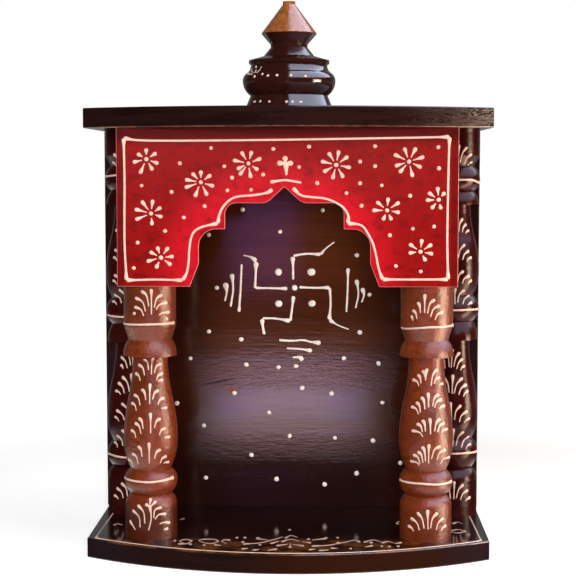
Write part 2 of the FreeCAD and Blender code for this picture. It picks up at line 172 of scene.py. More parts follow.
# Petals on the front pillars, as pixels of head and tail. Each leaves its head level and ends steep
LEFT_PETALS = (
    ((151.2, 288.8), (151.4, 314.5)), ((141.1, 290.8), (148.8, 306.3)), ((135.2, 297.6), (145.6, 311.6)),
    ((134.3, 306.8), (143.7, 316)), ((162.4, 294.6), (154.1, 307.7)), ((167.2, 302.4), (156.1, 309.7)),
    ((169.6, 312.1), (159, 315)), ((153.2, 358.1), (151.2, 374.6)), ((144, 359.1), (148.5, 370.1)),
    ((138.2, 364.4), (144.6, 375.4)), ((135.2, 373.1), (140.2, 381.1)), ((160.9, 363.4), (154.4, 372.9)),
    ((162.9, 373.1), (156.4, 380.1)), ((163.3, 379.9), (157.8, 381.4)), ((150.1, 383.3), (149.6, 404.1)),
    ((141.3, 389.1), (145.8, 400.1)), ((133.8, 394.5), (140.2, 405.5)), ((131.4, 402.7), (136.4, 410.7)),
    ((159, 390.1), (152.5, 399.6)), ((164.3, 397.8), (157.8, 404.8)), ((167.2, 407.5), (161.7, 409)),
    ((150.3, 412.6), (150.6, 433.4)), ((138.6, 417.9), (143.1, 428.9)), ((134.6, 422.8), (141, 433.8)),
    ((130.9, 430), (135.9, 438)), ((160.9, 418.4), (154.4, 427.9)), ((165.8, 428.1), (159.3, 435.1)),
    ((170.1, 436.8), (164.6, 438.3)), ((148.8, 442.6), (149.3, 463.5)), ((137.7, 446), (142.2, 457)),
    ((131.9, 453.3), (138.3, 464.3)), ((128, 459.1), (133, 467.1)), ((160.9, 449.4), (154.4, 458.9)),
    ((166.7, 456.2), (160.2, 463.2)), ((169.2, 462), (163.7, 463.5)),
)
RIGHT_PETALS = (
    ((424.9, 293.9), (424.6, 313)), ((417.3, 302.2), (420.5, 313)), ((412.4, 310), (417, 319)),
    ((410.8, 315.9), (413, 321)), ((435.2, 299.4), (427.5, 313.5)), ((440.2, 305.4), (430.5, 317)),
    ((443.2, 311.8), (435, 320)), ((412.5, 379.5), (419, 386)), ((417.5, 374.5), (421, 383.5)),
    ((422, 370.5), (425, 377.5)), ((427.5, 368.5), (425.5, 380.5)), ((437.5, 369), (431, 386)),
    ((440, 377), (434, 384)), ((443, 383.5), (439.5, 385.5)), ((411, 406.5), (418.5, 414.5)),
    ((416, 402), (420.5, 412.5)), ((421, 397), (425, 409.5)), ((428, 392.5), (428.5, 407.5)),
    ((439, 394), (432.5, 406.5)), ((442, 399), (434.5, 408)), ((445, 405.5), (439.5, 409)),
    ((411.5, 430.5), (423, 437)), ((416.5, 423.5), (422.5, 432)), ((422, 420), (425.5, 431.5)),
    ((429.5, 418), (430.5, 434.5)), ((440.5, 418.5), (434.5, 431.5)), ((444.5, 423), (437.5, 432)),
    ((447.5, 429), (441.5, 432.5)), ((410, 461), (419.5, 465.5)), ((413, 454.5), (420, 464)),
    ((417.5, 451.5), (423, 463)), ((422, 446.5), (425.5, 461.5)), ((429, 444), (428.5, 463.5)),
    ((440.5, 446), (431.5, 459)), ((446, 449.5), (437, 460)), ((449.5, 457), (440.5, 464)),
)
LEFT_DOTS = ((134.3, 313.5), (166.7, 318.9))

# Fans drawn by rule: the pixel that the petals spring from, then height and half width in mm
RIGHT_FOOT_FAN = ((427.8, 529.5), 15.0, 16.0)
LEFT_FOOT_STROKES = (
    ((150.7, 497.9), (149.8, 505)), ((145.4, 503.7), (149.2, 507)), ((156.1, 500.8), (150.6, 506.5)),
    ((149.6, 505.1), (151.2, 518), (148.6, 530.3)), ((137.7, 504.7), (143.4, 512), (144.9, 523.5)),
    ((132.6, 510), (139, 517), (140.1, 527.4)), ((129.9, 520.2), (135.5, 529.8)),
    ((161.9, 507.1), (155, 510), (153.8, 518)), ((166.3, 513.9), (159, 514.6), (155, 519.4)),
    ((170.1, 522.6), (164, 522.4), (159.5, 524)), ((168.2, 528.4), (163.6, 529.6)),
)
REAR_FANS = (
    ((457.5, 163.5), 15.0, 14.0), ((456.5, 232), 13.0, 11.5), ((455.5, 259), 14.0, 14.0),
    ((455, 283), 12.0, 15.0), ((455, 304), 13.0, 16.0), ((451, 368), 15.0, 12.0),
    ((451.5, 394), 15.5, 15.0), ((451.5, 421), 15.5, 16.0), ((452.5, 447), 15.0, 17.0),
    ((453.5, 500), 15.0, 15.0),
)

# Rings of the cone round the pillars: pixels on each, and how far its ends run from the front, in degrees
RINGS = {
    "front_pillar_left": (
        (((127, 324.2), (150, 324.5), (175, 322.4)), -82, 74),
        (((128, 479.4), (149.3, 482.4), (163, 480.6), (175, 476.2)), -80, 66),
    ),
    "front_pillar_right": (
        (((402, 328), (406, 328.8), (428.7, 327.4), (451, 325.8)), -84, 80),
        (((403, 481.2), (421.1, 483.7), (440.5, 484.5), (450, 482)), -80, 72),
    ),
    "rear_pillar_left": (
        (((108, 176.2), (115.5, 175.2)), -84, 88),
        (((108, 315), (116, 316.6), (122, 317)), -84, 84),
        (((110, 454), (118, 456.6), (123, 457.4)), -78, 86),
    ),
    "rear_pillar_right": (
        (((460, 179.8), (471, 179.6), (478, 182.4)), -88, 80),
        (((455, 310.3), (466, 309.8), (477, 309.2)), -84, 84),
        (((454, 453.8), (465, 453.2), (475.5, 451.7)), -86, 78),
    ),
}

# Scrolls on the base, as strokes from head to tail, and dots between them
BASE_LINE_INSET_MM = 3.2
BASE_STROKES = (
    ((285.2, 538.2), (290.7, 535.6), (297.3, 537.4)), ((281.5, 541.8), (290.6, 539.3), (299.5, 541.4)),
    ((290, 547.5), (290.1, 543.5)), ((270.5, 543.6), (279, 541.2)), ((311, 543.2), (302, 541.6)),
    ((276, 545.8), (288, 544.2)), ((304, 546), (292, 544.2)),
    ((242.7, 544.2), (259, 543), (270, 540.6), (283, 536.9)),
    ((313, 546), (327, 545.4), (341, 543), (352, 540.6)), ((256, 538.6), (268, 540)),
    ((326, 538.6), (312, 540)),
    ((217.5, 541.8), (216.4, 539.8), (207, 539.2), (199, 540.2), (204.3, 542.8), (211.8, 543.6),
     (217.5, 541.8)),
    ((230.4, 540.3), (225, 539.8), (221.6, 541.4), (226, 543.3)), ((214, 544.8), (221, 545.4)),
    ((192, 541.2), (186, 539.4), (179.8, 541.2), (186, 543.8), (192, 541.2)), ((177.5, 544), (186.5, 543.9)),
    ((241.3, 549), (248, 548.2)), ((252.3, 550.2), (259.4, 549.4)), ((277, 549), (267.4, 550.4)),
    ((318.6, 550.6), (329.2, 549.8)), ((330.2, 548.2), (337.6, 548.4)), ((308.3, 549.8), (315, 549.2)),
    ((359.7, 542.2), (355.5, 540.3), (349.4, 541)), ((363.8, 542.4), (372.8, 540), (381.4, 542)),
    ((373, 545.6), (364.6, 547)), ((381.7, 543), (388, 541.6), (393.4, 543)),
    ((401.8, 542.6), (394.6, 543.6)), ((450.9, 516.5), (456.4, 515.2), (461.9, 516.8)),
    ((452.3, 523.8), (457.8, 522.2), (462.2, 523.8)),
    ((465.6, 531.6), (458, 529.6), (450.4, 531.4), (457.4, 533), (465.6, 531.6)),
    ((113.6, 525.2), (118, 523.9), (122.4, 525)), ((184.4, 518.4), (179.6, 519.9)),
    ((397.2, 524.2), (397.6, 522), (401.6, 521.2)),
)
BASE_DOTS = (
    (289.6, 529.9), (236.9, 537.7), (244.7, 537.7), (257.8, 538), (242.7, 542.1), (259.8, 544.9),
    (204, 545.2), (190.3, 544.4), (174.8, 540.8), (308.3, 539.2), (325.9, 538), (337.4, 537.7),
    (337.8, 542.8), (350.5, 548.7), (381.7, 546.3), (389.2, 546.6), (398.1, 546.3), (313, 546.1),
    (371, 542.6),
)
POT_DOTS = ((254.6, 76.6), (262.4, 74.1), (269, 75.8), (278.5, 75.5), (290.6, 75.5), (304.2, 76.3))
POT_STROKES = (
    ((255.8, 65.8), (255.0, 73.0)), ((261.7, 66.7), (256.6, 73.0)), ((250.8, 68.3), (253.6, 73.0)),
    ((247.6, 73.6), (252.4, 74.4)),
)
POT_FOOT_STROKES = (
    ((255.7, 101.5), (253.2, 101.9)), ((261.5, 100.8), (259, 101.9)), ((270.7, 101.7), (268, 101.5)),
    ((285.6, 102.6), (288, 100.9)), ((293.9, 101.2), (290.8, 102.3)), ((302.2, 102.6), (299, 101.2)),
)


class MandirColours(bpy.types.PropertyGroup):
    """Colours of the lacquers and paints, as linear light."""

    board: FloatVectorProperty(name="Boards", description="Lacquer of the base and roof", subtype="COLOR",
                               default=(0.020, 0.0065, 0.0052))
    panel: FloatVectorProperty(name="Back panel", description="Lacquer of the back panel", subtype="COLOR",
                               default=(0.082, 0.020, 0.0060))
    red: FloatVectorProperty(name="Valance", description="Paint of the arched valance", subtype="COLOR",
                             default=(0.60, 0.009, 0.018))
    # Valance middle: duller red, partly the paint's own and partly painted shade where the front light falls
    # off away from the arch
    red_mid: FloatVectorProperty(name="Valance middle", description="Duller paint away from the arch",
                                 subtype="COLOR", default=(0.28, 0.0065, 0.0065))
    # Valance shade: darker red for the mottle and the outer sides, and a painted shadow of the roof along the
    # top
    red_deep_and_roof_shadow: FloatVectorProperty(name="Valance shade", description="Darker paint under the roof",
                                  subtype="COLOR", default=(0.055, 0.004, 0.004))
    copper: FloatVectorProperty(name="Front pillars", description="Lacquer of the front pillars",
                                subtype="COLOR", default=(0.21, 0.037, 0.010))
    maroon: FloatVectorProperty(name="Rear pillars", description="Lacquer of the rear pillars",
                                subtype="COLOR", default=(0.042, 0.0050, 0.0040))
    pot: FloatVectorProperty(name="Finial pot", description="Lacquer of the pot", subtype="COLOR",
                             default=(0.030, 0.007, 0.005))
    spire: FloatVectorProperty(name="Finial spire", description="Lacquer of the spire", subtype="COLOR",
                               default=(0.36, 0.115, 0.030))
    cream: FloatVectorProperty(name="Cone painting", description="The raised cream paste", subtype="COLOR",
                               default=(0.82, 0.62, 0.52))
    # Panel cream: a whiter paste, and brighter than the cream as painted light, since the back panel gets
    # less light
    chalk: FloatVectorProperty(name="Panel cream", description="Whiter cone painting of the back panel",
                               subtype="COLOR", default=(0.93, 0.86, 0.80))


class MandirSizes(bpy.types.PropertyGroup):
    """Sizes of the raised strokes."""

    line: FloatProperty(name="Line", description="Half width of a drawn line", subtype="DISTANCE",
                        default=0.80 * MM)
    head: FloatProperty(name="Petal head", description="Radius of a flower petal's head", subtype="DISTANCE",
                        default=1.48 * MM)
    tail: FloatProperty(name="Petal tail", description="Radius of a petal's tail", subtype="DISTANCE",
                        default=0.45 * MM)
    fan_head: FloatProperty(name="Fan head", description="Radius of a fan petal's head", subtype="DISTANCE",
                            default=1.25 * MM)
    dot: FloatProperty(name="Dot", description="Radius of a dot", subtype="DISTANCE", default=1.35 * MM)
    crown: FloatProperty(name="Crown", description="Height of a stroke as a share of its half width",
                         subtype="FACTOR", default=0.55, min=0.1, max=1.0)
    sides: IntProperty(name="Sides", description="Corners of a stroke's section", default=14, min=8, max=32)


class MandirStudio(bpy.types.PropertyGroup):
    """Strength of the studio lamps."""

    front: FloatProperty(name="Front", description="Soft lamp over the camera", subtype="POWER",
                         default=16.0)
    left: FloatProperty(name="Left", description="Soft lamp high at the left", subtype="POWER", default=3.5)
    right: FloatProperty(name="Right", description="Warm soft lamp at the right", subtype="POWER",
                         default=11.5)
    above: FloatProperty(name="Above", description="Soft lamp over the roof", subtype="POWER", default=6.0)
    window: FloatProperty(name="Window", description="Bluish window at the upper right, seen in the gloss",
                          subtype="FACTOR", default=7.0)
    violet: FloatProperty(name="Violet", description="Dim lamp that the panel mirrors", subtype="POWER",
                          default=0.06)
    table: FloatProperty(name="Table", description="Brightness of the table that the panel mirrors",
                         subtype="FACTOR", default=5.1)
    room: FloatProperty(name="Room", description="Brightness of the room in front", subtype="FACTOR",
                        default=0.03)


def settings():
    """The scene's own property groups: colours, sizes and studio."""
    scene = bpy.context.scene
    return scene.mandir_colours, scene.mandir_sizes, scene.mandir_studio


def camera_rays(pixels):
    """Directions of the rays through pixels: (x, -y, -focal) from the middle, turned as the camera is."""
    pixels = np.asarray(pixels, float)
    focal = LENS_MM / SENSOR_MM * PICTURE
    across = (pixels[..., 0] - PICTURE / 2) / focal
    up = (PICTURE / 2 - pixels[..., 1]) / focal
    local = np.stack([across, up, -np.ones_like(across)], -1)
    turn = np.array(Euler((CAMERA_TILT, 0, CAMERA_TURN)).to_matrix())
    return local @ turn.T


class FlatFace:
    """A flat face across one axis. Its two parameters are the other two coordinates, in metres."""

    def __init__(self, axis, level, outwards):
        self.axis = axis
        self.level = level
        self.kept = [k for k in range(3) if k != axis]
        self.normal = np.zeros(3)
        self.normal[axis] = outwards

    def place(self, flat):
        """Points of the face, and its normals there."""
        points = np.full(flat.shape[:-1] + (3,), self.level)
        points[..., self.kept] = flat
        return points, np.broadcast_to(self.normal, points.shape)

    def from_pixels(self, pixels):
        """Parameters where the camera's rays meet the face."""
        rays = camera_rays(pixels)
        start = np.array(CAMERA_PLACE)
        reach = (self.level - start[self.axis]) / rays[..., self.axis]
        return (start + rays * reach[..., None])[..., self.kept]


class TurnedFace:
    """The face of a turned piece. Its parameters are the turn from the front, in radians, and the height."""

    def __init__(self, node):
        low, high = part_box(node)
        self.axis = np.array([(low.x + high.x) / 2, (low.y + high.y) / 2])
        points = np.array([v.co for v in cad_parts[node].data.vertices], float)
        away = np.hypot(points[:, 0] - self.axis[0], points[:, 1] - self.axis[1])
        levels, index = np.unique(np.round(points[:, 2], 6), return_inverse=True)
        radii = np.zeros(len(levels))
        np.maximum.at(radii, index, away)
        self.levels = levels
        self.radii = radii

    def radius(self, height):
        """Radius at a height: straight between the levels of the piece's own mesh."""
        return np.interp(height, self.levels, self.radii)

    def place(self, flat):
        """Points (axis + r sin turn, axis - r cos turn, height) and normals, which lean by the slope of r."""
        turn, height = flat[..., 0], flat[..., 1]
        step = 0.4 * MM
        radius = self.radius(height)
        slope = (self.radius(height + step) - self.radius(height - step)) / (2 * step)
        slope = np.clip(slope, -3, 3)
        out = np.stack([np.sin(turn), -np.cos(turn)], -1)
        points = np.concatenate([self.axis + radius[..., None] * out, height[..., None]], -1)
        normals = np.concatenate([out, -slope[..., None]], -1)
        return points, normals / np.linalg.norm(normals, axis=-1, keepdims=True)

    def from_pixels(self, pixels):
        """Parameters where each ray first meets the face, or comes nearest to it, on a fine run of depths."""
        rays = camera_rays(pixels)
        start = np.array(CAMERA_PLACE)
        middle = self.axis[1] - start[1]
        depths = np.linspace(middle - 0.03, middle + 0.01, 1201)
        points = start + rays[..., None, :] / rays[..., None, 1:2] * depths[:, None]
        away = np.hypot(points[..., 0] - self.axis[0], points[..., 1] - self.axis[1])
        gap = away - self.radius(points[..., 2])
        inside = gap <= 0
        first = np.where(inside.any(-1), inside.argmax(-1), gap.argmin(-1))
        hit = np.take_along_axis(points, first[..., None, None], -2)[..., 0, :]
        turn = np.arctan2(hit[..., 0] - self.axis[0], self.axis[1] - hit[..., 1])
        return np.stack([turn, hit[..., 2]], -1)


def smooth_route(points, per_span=10):
    """Catmull-Rom curve: on each span, the cubic whose end slopes are half the neighbours' step."""
    points = np.asarray(points, float)
    ends = np.concatenate([2 * points[:1] - points[1:2], points, 2 * points[-1:] - points[-2:-1]])
    t = np.linspace(0, 1, per_span, endpoint=False)[None, :, None]
    before, here, there, after = (ends[k:len(ends) - 3 + k, None, :] for k in range(4))
    spans = 0.5 * (2 * here + (there - before) * t + (2 * before - 5 * here + 4 * there - after) * t**2
                   + (3 * here - before - 3 * there + after) * t**3)
    return np.concatenate([spans.reshape(-1, points.shape[1]), points[-1:]])


def stroke(face, flat_route, head, tail, line, crown, sides, swell=0.0):
    """One closed bead of paste along a route on a face, as (points, faces).

    At distance d from the head the half width is the line's, plus what the head and tail have over it
    times a bell of the distance to each, and each end is closed by a circle of its radius. A ring stands
    crown times the half width high, and the part under the face is shallow. Heads have a small dimple.
    """
    route, normals = face.place(flat_route)
    steps = np.linalg.norm(np.diff(route, axis=0), axis=1)
    along = np.concatenate([[0], np.cumsum(steps)])
    length = along[-1]
    if head + tail > length:
        head, tail = head * length / (head + tail), tail * length / (head + tail)
    cap = 1 - np.cos(np.linspace(0, math.pi / 2, 6))
    middle = np.linspace(head, length - tail, max(3, int((length - head - tail) / (0.9 * MM)) + 2))
    distance = np.concatenate([head * cap[1:-1], middle, length - tail * cap[-2:0:-1]])
    neck = max(0.35 * min(length, 10 * MM), 0.4 * head)
    width = (line + (head - line) * np.exp(-(np.maximum(distance - head, 0) / neck) ** 2)
             + (tail - line) * np.exp(-(np.maximum(length - tail - distance, 0) / neck) ** 2))
    width += swell * np.sin(distance / (3.1 * MM)) * np.sin(distance / (1.3 * MM) + 1)
    near, far = distance, length - distance
    width = np.where(near < head, np.sqrt(np.maximum(head**2 - (head - near) ** 2, 0)), width)
    width = np.where(far < tail, np.sqrt(np.maximum(tail**2 - (tail - far) ** 2, 0)), width)

    centre = np.stack([np.interp(distance, along, route[:, k]) for k in range(3)], -1)
    normal = np.stack([np.interp(distance, along, normals[:, k]) for k in range(3)], -1)
    forward = np.gradient(centre, axis=0)
    side = np.cross(normal, forward)
    side /= np.linalg.norm(side, axis=1, keepdims=True)
    turn = np.arange(sides) * 2 * math.pi / sides
    dimple = 0.45 * np.exp(-((distance - head) / (0.45 * head)) ** 2) if head > 1.25 * line else 0 * distance
    rise = np.maximum(np.sin(turn), 0)
    height = crown * width[:, None] * rise * (1 - dimple[:, None] * np.exp(-(np.cos(turn) / 0.42) ** 2))
    height = height - np.maximum(-np.sin(turn), 0) * np.minimum(0.3 * width, 0.18 * MM)[:, None]
    rings = (centre[:, None] + side[:, None] * (width[:, None] * np.cos(turn))[..., None]
             + normal[:, None] * height[..., None])
    points = np.concatenate([route[:1], rings.reshape(-1, 3), route[-1:]])

    count = len(distance)
    row = np.arange(count - 1)[:, None] * sides + 1
    col = np.arange(sides)
    after = (col + 1) % sides
    quads = np.stack([row + col, row + after, row + sides + after, row + sides + col], -1).reshape(-1, 4)
    last = (count - 1) * sides + 1
    first_fan = np.stack([np.zeros(sides, int), 1 + after, 1 + col], -1)
    last_fan = np.stack([np.full(sides, len(points) - 1), last + col, last + after], -1)
    return points, quads, np.concatenate([first_fan, last_fan])


def make_piece(name, parts, material):
    """One mesh of many strokes: their points and faces one after another, with faces turned outwards."""
    points, faces, start = [], [], 0
    for own, quads, triangles in parts:
        points.append(own)
        faces += (quads + start).tolist() + (triangles + start).tolist()
        start += len(own)
    mesh = bpy.data.meshes.new(name)
    mesh.from_pydata(np.concatenate(points).tolist(), [], faces)
    if signed_volume(mesh) < 0:
        mesh.flip_normals()
    mesh.polygons.foreach_set("use_smooth", np.ones(len(faces), bool))
    mesh.materials.append(material)
    mesh.validate()
    piece = bpy.data.objects.new(name, mesh)
    bpy.context.scene.collection.objects.link(piece)
    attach(piece, BODY)
    return piece


def signed_volume(mesh):
    """Sum over triangles of a . (b x c) / 6, positive where the faces point outwards."""
    mesh.calc_loop_triangles()
    corners = np.zeros(len(mesh.loop_triangles) * 3, int)
    mesh.loop_triangles.foreach_get("vertices", corners)
    places = np.zeros(len(mesh.vertices) * 3)
    mesh.vertices.foreach_get("co", places)
    a, b, c = places.reshape(-1, 3)[corners].reshape(-1, 3, 3).transpose(1, 0, 2)
    return np.einsum("ij,ij->i", a, np.cross(b, c)).sum() / 6


class Painter:
    """Lays strokes, dots and fans on one face with the sizes of the property group."""

    def __init__(self, face, seed=1):
        self.face = face
        self.sizes = settings()[1]
        self.random = np.random.default_rng(seed)
        self.parts = []

    def lay(self, flat, head, tail, line, swell=0.0):
        """One stroke along a route in the face's own parameters."""
        sizes = self.sizes
        self.parts.append(stroke(self.face, flat, head, tail, line, sizes.crown, sizes.sides, swell))

    def route(self, pixels):
        """A smooth route through pixels, in the face's own parameters."""
        return smooth_route(self.face.from_pixels(pixels))

    def petals(self, routes, head=None, tail=None):
        """Teardrops along pixel routes, from head to tail."""
        head, tail = head or self.sizes.head, tail or self.sizes.tail
        for route in routes:
            self.lay(self.route(route), head, tail, tail)

    def hooks(self, petals):
        """Petals from pixels of head and tail, bowed outwards: M = H + (0.68 dx, 0.3 dy) on the way."""
        for pair in petals:
            head, tail = np.array(pair, float)
            middle = head + (0.68, 0.30) * (tail - head)
            self.lay(self.route([head, middle, tail]), self.sizes.fan_head, self.sizes.tail, self.sizes.tail)

    def drawn(self, strokes):
        """Strokes that each state the half widths of head and tail in mm; the line between is thinner."""
        for head, tail, route in strokes:
            line = min(0.85, tail) * MM
            self.lay(self.route(route), head * MM, tail * MM, line, swell=0.1 * line)

    def lines(self, routes, head=1.55, tail=1.35):
        """Drawn lines along pixel routes, with a blob at each end that is so many times the line wide."""
        line = self.sizes.line
        for route in routes:
            self.lay(self.route(route), head * line, tail * line, line, swell=0.05 * line)

    def dots(self, pixels, radius=None):
        """Round drops, each a short stroke at a slant through its centre, so a little out of round."""
        for pixel in pixels:
            centre = self.face.from_pixels(np.array(pixel))
            size = (radius or self.sizes.dot) * self.random.uniform(0.9, 1.1)
            lean = self.random.uniform(0, math.pi)
            reach = size * np.array([math.cos(lean), math.sin(lean)])
            if isinstance(self.face, TurnedFace):
                reach = reach / np.array([self.face.radius(centre[1]), 1.0])
            self.lay(centre + np.linspace(-1, 1, 9)[:, None] * reach * 1.06, size, size, size)

    def flower(self, centre, petals):
        """A centre dot with teardrops round it, each from its tip's circle in towards the centre."""
        centre = np.array(centre)
        self.dots([centre], 1.55 * MM)
        for degrees, reach in petals:
            turn = math.radians(degrees)
            way = np.array([math.sin(turn), -math.cos(turn)])
            self.petals([(centre + way * (reach + 1.0), centre + way * 4.4)])

    def fan(self, foot, high, wide, lean):
        """Seven petals that spring from a foot on a turned face.

        Heads lie on half an ellipse, wide by high; tails lie under them, spread less. Each petal leaves
        its tail upwards and bends out to its head.
        """
        heads = np.array([(0, 1.0), (0.52, 0.84), (0.84, 0.5), (1.0, 0.1)])
        tails = np.array([(0, 0.0), (0.14, 0.06), (0.40, -0.04), (0.68, -0.13)])
        for hand in (-1, 1):
            for k in range(0 if hand < 0 else 1, 4):
                head = heads[k] * (hand * wide, high) + self.random.normal(0, 0.35 * MM, 2)
                tail = tails[k] * (hand * wide, high) + self.random.normal(0, 0.25 * MM, 2)
                middle = tail + (head - tail) * (0.28, 0.62)
                route = smooth_route([head, middle, tail])
                route[:, 0] += lean * route[:, 1]
                height = foot[1] + route[:, 1]
                turn = foot[0] + route[:, 0] / self.face.radius(height)
                grow = self.random.uniform(0.86, 1.12)
                flat = np.stack([turn, height], -1)
                self.lay(flat, self.sizes.fan_head * grow, self.sizes.tail, self.sizes.tail)

    def fans(self, fans, seen=None, hand=1):
        """Fans at pixels, sizes in mm. They may be seen on another face and turned over to this hand."""
        for pixel, high, wide in fans:
            foot = (seen or self.face).from_pixels(np.array(pixel, float)) * (hand, 1)
            self.fan(foot, high * MM, wide * MM, self.random.uniform(-0.06, 0.06))

    def ring(self, pixels, start, end):
        """A line round a turned face through pixels, level past them, that ends in a blob at the right."""
        marks = self.face.from_pixels(pixels)
        turn = np.radians(np.linspace(end, start, 90))
        level = np.interp(turn, marks[:, 0], marks[:, 1])
        line = self.sizes.line
        self.lay(np.stack([turn, level], -1), 1.7 * line, 1.2 * line, line, swell=0.08 * line)

    def finish(self, name, paste="cream_cone_paste"):
        """One piece of all that was laid."""
        return make_piece(name, self.parts, cone_paste(paste))


# Shader node helpers


def feed(tree, socket, value):
    """Gives an input a link, a number, a vector or a colour."""
    if isinstance(value, bpy.types.NodeSocket):
        tree.links.new(value, socket)
    elif socket.type == "RGBA" and len(value) == 3:
        socket.default_value = (*value, 1.0)
    else:
        socket.default_value = value


def new_node(tree, kind, **values):
    """A node of a kind. Each value feeds the input of its name, or else is one of the node's settings."""
    made = tree.nodes.new(kind)
    for key, value in values.items():
        name = key.replace("_", " ").title()
        if name in made.inputs:
            feed(tree, made.inputs[name], value)
        else:
            setattr(made, key, value)
    return made


def new_group(name, inputs, outputs):
    """A shader node group with its sockets, as (group, input node, output node)."""
    tree = bpy.data.node_groups.new(name, "ShaderNodeTree")
    kinds = {"vector": "NodeSocketVector", "colour": "NodeSocketColor", "value": "NodeSocketFloat"}
    for label, kind, default in inputs:
        socket = tree.interface.new_socket(label, in_out="INPUT", socket_type=kinds[kind])
        if default is not None:
            socket.default_value = default
    for label, kind in outputs:
        tree.interface.new_socket(label, in_out="OUTPUT", socket_type=kinds[kind])
    return tree, tree.nodes.new("NodeGroupInput"), tree.nodes.new("NodeGroupOutput")


def noise(tree, vector, scale=1.0, detail=4.0, rough=0.55):
    """The value of a noise texture on a vector."""
    made = new_node(tree, "ShaderNodeTexNoise", vector=vector, scale=scale, detail=detail, roughness=rough)
    return made.outputs["Fac"]


def ramp(tree, value, low, high, out_low=0.0, out_high=1.0):
    """A value taken smoothly from one range to another."""
    made = new_node(tree, "ShaderNodeMapRange", interpolation_type="SMOOTHSTEP", value=value, from_min=low,
                    from_max=high, to_min=out_low, to_max=out_high)
    return made.outputs["Result"]


def between(tree, value, low, high, soft):
    """1 from low to high, falling to 0 over a soft margin outside."""
    return times(tree, ramp(tree, value, low - soft, low), ramp(tree, value, high + soft, high))


def calc(tree, operation, *values):
    """One step of arithmetic on sockets or numbers."""
    made = new_node(tree, "ShaderNodeMath", operation=operation)
    for socket, value in zip(made.inputs, values):
        feed(tree, socket, value)
    return made.outputs[0]


def times(tree, first, *others):
    """The product of sockets and numbers."""
    for other in others:
        first = calc(tree, "MULTIPLY", first, other)
    return first


def mix(tree, factor, first, second):
    """Two colours mixed by a factor, each a socket or a plain value."""
    made = new_node(tree, "ShaderNodeMix", data_type="RGBA")
    for k, value in ((0, factor), (6, first), (7, second)):
        feed(tree, made.inputs[k], value)
    return made.outputs[2]


def coats(tree, colour, *layers):
    """A colour with others laid over it in turn, each as (mask, colour)."""
    for mask, over in layers:
        colour = mix(tree, mask, colour, over)
    return colour


def mapped(tree, scale=(1, 1, 1), place=(0, 0, 0)):
    """Object coordinates, moved and stretched by a Mapping node."""
    source = new_node(tree, "ShaderNodeTexCoord").outputs["Object"]
    return new_node(tree, "ShaderNodeMapping", vector=source, scale=scale, location=place).outputs["Vector"]


def split(tree, vector):
    """The three coordinates of a vector."""
    return new_node(tree, "ShaderNodeSeparateXYZ", vector=vector).outputs


def length(tree, vector):
    """The length of a vector."""
    return new_node(tree, "ShaderNodeVectorMath", operation="LENGTH", vector=vector).outputs["Value"]


def shared(name, maker):
    """A material or group by name, made the first time that it is asked for."""
    found = bpy.data.materials.get(name) or bpy.data.node_groups.get(name)
    return found or maker()


def brushed_lacquer_group():
    """Lacquer laid with a brush over wood: streaks along the vector's long axis, and clouds."""
    tree, source, result = new_group(
        "Brushed lacquer",
        (("Vector", "vector", None), ("Colour", "colour", (0.1, 0.02, 0.01, 1)),
         ("Deep Colour", "colour", (0.01, 0.004, 0.003, 1)), ("Streaks", "value", 0.5),
         ("Clouds", "value", 0.5), ("Gloss", "value", 0.15)),
        (("Colour", "colour"), ("Roughness", "value"), ("Height", "value")),
    )
    given = source.outputs
    streak = noise(tree, given["Vector"], 1.0, 6.0, 0.62)
    fine = noise(tree, given["Vector"], 3.7, 3.0, 0.5)
    cloud = noise(tree, given["Vector"], 0.13, 3.0, 0.5)
    streaked = times(tree, ramp(tree, streak, 0.38, 0.68), given["Streaks"])
    clouded = times(tree, ramp(tree, cloud, 0.40, 0.66), given["Clouds"])
    shade = calc(tree, "MAXIMUM", streaked, clouded)
    feed(tree, result.inputs["Colour"], mix(tree, shade, given["Colour"], given["Deep Colour"]))
    rough = calc(tree, "MULTIPLY_ADD", ramp(tree, fine, 0.35, 0.75), 0.05, given["Gloss"])
    feed(tree, result.inputs["Roughness"], rough)
    feed(tree, result.inputs["Height"], calc(tree, "MULTIPLY_ADD", fine, 0.35, streak))
    return tree


def specks_group():
    """Sparse round specks: a mask that is 1 near some of the points of a cell pattern."""
    tree, source, result = new_group(
        "Specks", (("Vector", "vector", None), ("Scale", "value", 200.0), ("Amount", "value", 0.2)),
        (("Mask", "value"),),
    )
    given = source.outputs
    cells = new_node(tree, "ShaderNodeTexVoronoi", feature="F1", vector=given["Vector"], scale=given["Scale"])
    near = ramp(tree, cells.outputs["Distance"], 0.05, 0.2, 1.0, 0.0)
    chosen = new_node(tree, "ShaderNodeSeparateColor", color=cells.outputs["Color"]).outputs["Red"]
    some = calc(tree, "LESS_THAN", chosen, given["Amount"])
    feed(tree, result.inputs["Mask"], times(tree, near, some))
    return tree


def start_material(name, specular=0.5):
    """A material with a Principled shader, as (material, tree, shader)."""
    material = bpy.data.materials.new(name)
    material.use_nodes = True
    tree = material.node_tree
    shader = tree.nodes["Principled BSDF"]
    shader.inputs["Specular IOR Level"].default_value = specular
    return material, tree, shader


def coat(tree, shader, colour, rough=None, height=None, depth=0.0):
    """Feeds the shader a colour and, where given, a roughness and a height in units of depth metres."""
    feed(tree, shader.inputs["Base Color"], colour)
    if rough is not None:
        feed(tree, shader.inputs["Roughness"], rough)
    if height is not None:
        made = new_node(tree, "ShaderNodeBump", strength=1.0, distance=depth, height=height)
        feed(tree, shader.inputs["Normal"], made.outputs["Normal"])


def brushed(tree, stretch, colour, deep, streaks, clouds, gloss):
    """Colour, roughness and height of brushed lacquer, as fine along each axis as stretch says."""
    group = shared("Brushed lacquer", brushed_lacquer_group)
    made = new_node(tree, "ShaderNodeGroup", node_tree=group, vector=mapped(tree, stretch), colour=colour,
                    deep_colour=deep, streaks=streaks, clouds=clouds, gloss=gloss)
    return made.outputs["Colour"], made.outputs["Roughness"], made.outputs["Height"]


def darker(colour, share):
    """A share of a colour's light."""
    return tuple(share * c for c in colour)


